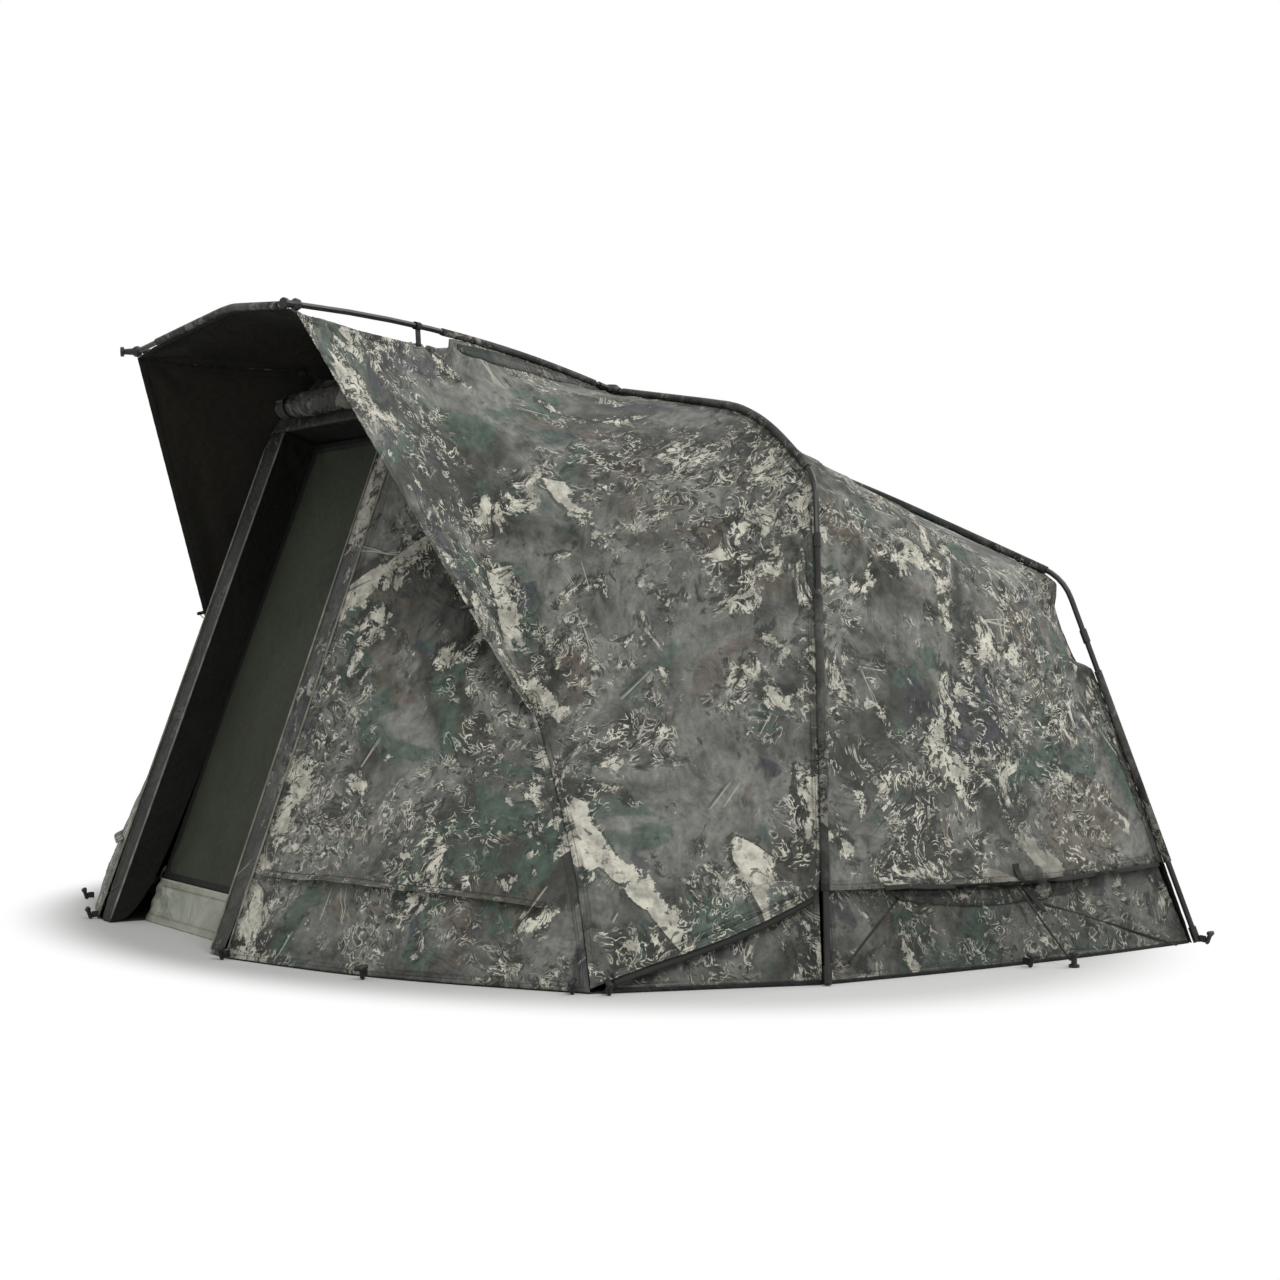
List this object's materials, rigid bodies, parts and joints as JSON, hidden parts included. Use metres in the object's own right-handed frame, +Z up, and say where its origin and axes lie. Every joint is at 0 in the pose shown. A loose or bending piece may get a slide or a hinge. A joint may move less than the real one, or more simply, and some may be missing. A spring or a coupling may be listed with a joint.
{
  "type": "bivvy tent",
  "caption": "Low camping shelter on bent plug-together ribs, with an overhanging hood, a zipped inward door, covered side windows and a groundsheet.",
  "frame": {"origin": "on the ground, under the middle of the tent's bounding box", "axes": "+X to the right seen from the front, +Y to the back, +Z up; the doorway faces -Y"},
  "size_m": [3.362, 2.4291, 1.6591],
  "materials": {
    "camo_cloth": "matt woven camouflage, light grey-green",
    "sleeve_cloth": "matt dark webbing cloth",
    "door_cloth": "matt dark green cloth",
    "mud_flap_cloth": "matt pale sage coated cloth",
    "groundsheet_cloth": "heavy dark coated cloth",
    "pole_paint": "dark anodised tube",
    "black_plastic": "moulded, satin black",
    "zip_metal": "cast zip metal, dark",
    "guy_cord": "dark green cord"
  },
  "bodies": {
    "shell": {"hub": "black_plastic", "front_rib_left": "pole_paint", "front_rib_right": "pole_paint", "front_bar": "pole_paint", "tip_knob_left": "black_plastic", "tip_knob_right": "black_plastic", "side_rib_upper_left": "pole_paint", "side_rib_upper_right": "pole_paint", "side_rib_lower_left": "pole_paint", "side_rib_lower_right": "pole_paint", "rear_rib_upper_left": "pole_paint", "rear_rib_upper_right": "pole_paint", "rear_rib_lower_left": "pole_paint", "rear_rib_lower_right": "pole_paint", "front_rib_sleeve_left": "sleeve_cloth", "front_rib_sleeve_right": "sleeve_cloth", "front_bar_sleeve": "sleeve_cloth", "side_upper_sleeve_left": "sleeve_cloth", "side_upper_sleeve_right": "sleeve_cloth", "side_lower_sleeve_left": "sleeve_cloth", "side_lower_sleeve_right": "sleeve_cloth", "rear_upper_sleeve_left": "sleeve_cloth", "rear_upper_sleeve_right": "sleeve_cloth", "rear_lower_sleeve_left": "sleeve_cloth", "rear_lower_sleeve_right": "sleeve_cloth", "hood_roof": "camo_cloth", "hood_wing_left": "camo_cloth", "hood_wing_right": "camo_cloth", "front_side_panel_left": "camo_cloth", "front_side_panel_right": "camo_cloth", "rear_side_panel_left": "camo_cloth", "rear_side_panel_right": "camo_cloth", "rear_roof_panel": "camo_cloth", "rear_wall_panel": "camo_cloth", "front_side_skirt_left": "camo_cloth", "front_side_skirt_right": "camo_cloth", "rear_side_skirt_left": "camo_cloth", "rear_side_skirt_right": "camo_cloth", "window_panel_left": "camo_cloth", "window_panel_right": "camo_cloth", "door_jamb_left": "camo_cloth", "door_jamb_right": "camo_cloth", "door_header": "camo_cloth", "mud_flap": "mud_flap_cloth", "door_cover_roll": "camo_cloth", "window_cover_roll_left": "camo_cloth", "window_cover_roll_right": "camo_cloth", "vent_guy_left": "guy_cord", "vent_guy_right": "guy_cord", "guy_peg_left": "black_plastic", "guy_peg_right": "black_plastic", "groundsheet": "groundsheet_cloth"},
    "door": {"door_panel": "door_cloth"},
    "slider_left": {"zip_slider_left": "zip_metal"},
    "slider_right": {"zip_slider_right": "zip_metal"},
    "pull_left": {"zip_pull_left": "zip_metal"},
    "pull_right": {"zip_pull_right": "zip_metal"},
    "toggle_left": {"door_toggle_left": "black_plastic"},
    "toggle_right": {"door_toggle_right": "black_plastic"}
  },
  "joints": [
    {"name": "door_hinge", "type": "hinge", "parent": "shell", "child": "door", "pos_m": [0, -0.61588, 1.32871], "axis": [1, 0, 0], "range_deg": [0, 80]},
    {"name": "zip_slide_left", "type": "slide", "parent": "shell", "child": "slider_left", "axis": [0.0172, 0.3475, 0.9375], "range_m": [0, 1.24]},
    {"name": "zip_slide_right", "type": "slide", "parent": "shell", "child": "slider_right", "axis": [-0.0172, 0.3475, 0.9375], "range_m": [0, 1.24]},
    {"name": "zip_pull_turn_left", "type": "hinge", "parent": "slider_left", "child": "pull_left", "pos_m": [-0.36072, -1.06512, 0.14211], "axis": [-0.9999, 0.006, 0.0161], "range_deg": [0, 150]},
    {"name": "zip_pull_turn_right", "type": "hinge", "parent": "slider_right", "child": "pull_right", "pos_m": [0.36072, -1.06512, 0.14211], "axis": [-0.9999, -0.006, -0.0161], "range_deg": [0, 150]},
    {"name": "toggle_turn_left", "type": "hinge", "parent": "shell", "child": "toggle_left", "pos_m": [-0.25, -0.76522, 1.43967], "axis": [0, -0.9377, 0.3476], "range_deg": [0, 90]},
    {"name": "toggle_turn_right", "type": "hinge", "parent": "shell", "child": "toggle_right", "pos_m": [0.25, -0.76522, 1.43967], "axis": [0, -0.9377, 0.3476], "range_deg": [0, 90]}
  ]
}
